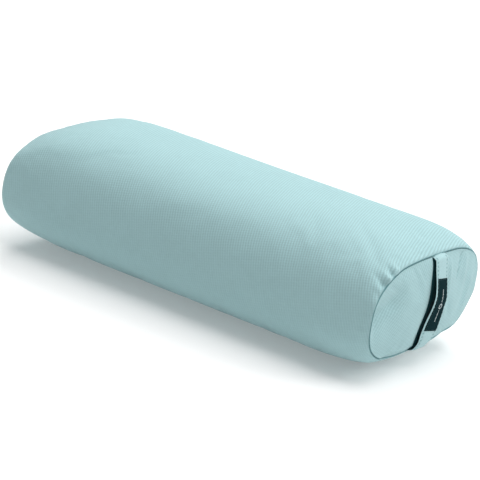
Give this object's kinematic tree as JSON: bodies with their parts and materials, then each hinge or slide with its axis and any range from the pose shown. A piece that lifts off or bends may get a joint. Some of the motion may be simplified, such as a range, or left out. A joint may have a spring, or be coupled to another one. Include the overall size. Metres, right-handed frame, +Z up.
{
  "type": "bolster pillow",
  "caption": "Massage-table bolster pillow: long cushion of rounded oval section in a plain canvas cover, with a fabric carry handle and woven label on one end and a zip along the back.",
  "frame": {"origin": "on the resting plane, under the middle of the body between its two end seams", "axes": "+X along the pillow's length toward the end with the carry handle, +Y across its width toward the zip side, +Z up"},
  "size_m": [0.6358, 0.3093, 0.1803],
  "materials": {
    "cover_fabric": "fine plain-weave canvas, pale aqua, matt",
    "strap_fabric": "doubled canvas strap, pale aqua, matt",
    "sewing_thread": "twisted polyester thread, matt",
    "label_fabric": "dark teal woven label",
    "label_thread": "pale woven-in motif thread",
    "liner_fabric": "thin white liner cloth",
    "batting": "white polyester batting",
    "foam": "open-cell foam, pale cream",
    "zip_tape": "woven zip tape, pale aqua",
    "zip_coil": "nylon coil, pale aqua",
    "zip_metal": "painted zip slider and pull"
  },
  "bodies": {
    "pillow": {"body_panel": "cover_fabric", "handle_end_panel": "cover_fabric", "plain_end_panel": "cover_fabric", "handle_end_seam_allowance": "cover_fabric", "plain_end_seam_allowance": "cover_fabric", "liner_tube": "liner_fabric", "liner_handle_end": "liner_fabric", "liner_plain_end": "liner_fabric", "batting_wrap": "batting", "batting_handle_end": "batting", "batting_plain_end": "batting", "foam_core": "foam", "handle_top_root": "strap_fabric", "handle_bottom_root": "strap_fabric", "handle_backing": "label_fabric", "handle_top_tail": "strap_fabric", "handle_bottom_tail": "strap_fabric", "zip_tape_upper": "zip_tape", "zip_tape_lower": "zip_tape", "zip_coil_upper": "zip_coil", "zip_coil_lower": "zip_coil", "zip_top_stop": "zip_metal", "zip_bottom_stop": "zip_metal"},
    "handle_loop": {"handle_grip": "strap_fabric", "handle_topstitch_left": "sewing_thread", "handle_topstitch_right": "sewing_thread", "woven_label": "label_fabric", "label_motif": "label_thread", "label_stitching": "sewing_thread"},
    "zip_slider": {"zip_slider": "zip_metal"},
    "zip_pull": {"zip_pull": "zip_metal"}
  },
  "joints": [
    {"name": "handle_draw", "type": "slide", "parent": "pillow", "child": "handle_loop", "axis": [1, 0, 0], "range_m": [0, 0.012]},
    {"name": "zip_slide", "type": "slide", "parent": "pillow", "child": "zip_slider", "axis": [-1, 0, 0], "range_m": [0, 0.456]},
    {"name": "pull_hinge", "type": "hinge", "parent": "zip_slider", "child": "zip_pull", "pos_m": [0.232, 0.1547, 0.09], "axis": [0, 0, -1], "range_deg": [0, 150]}
  ]
}
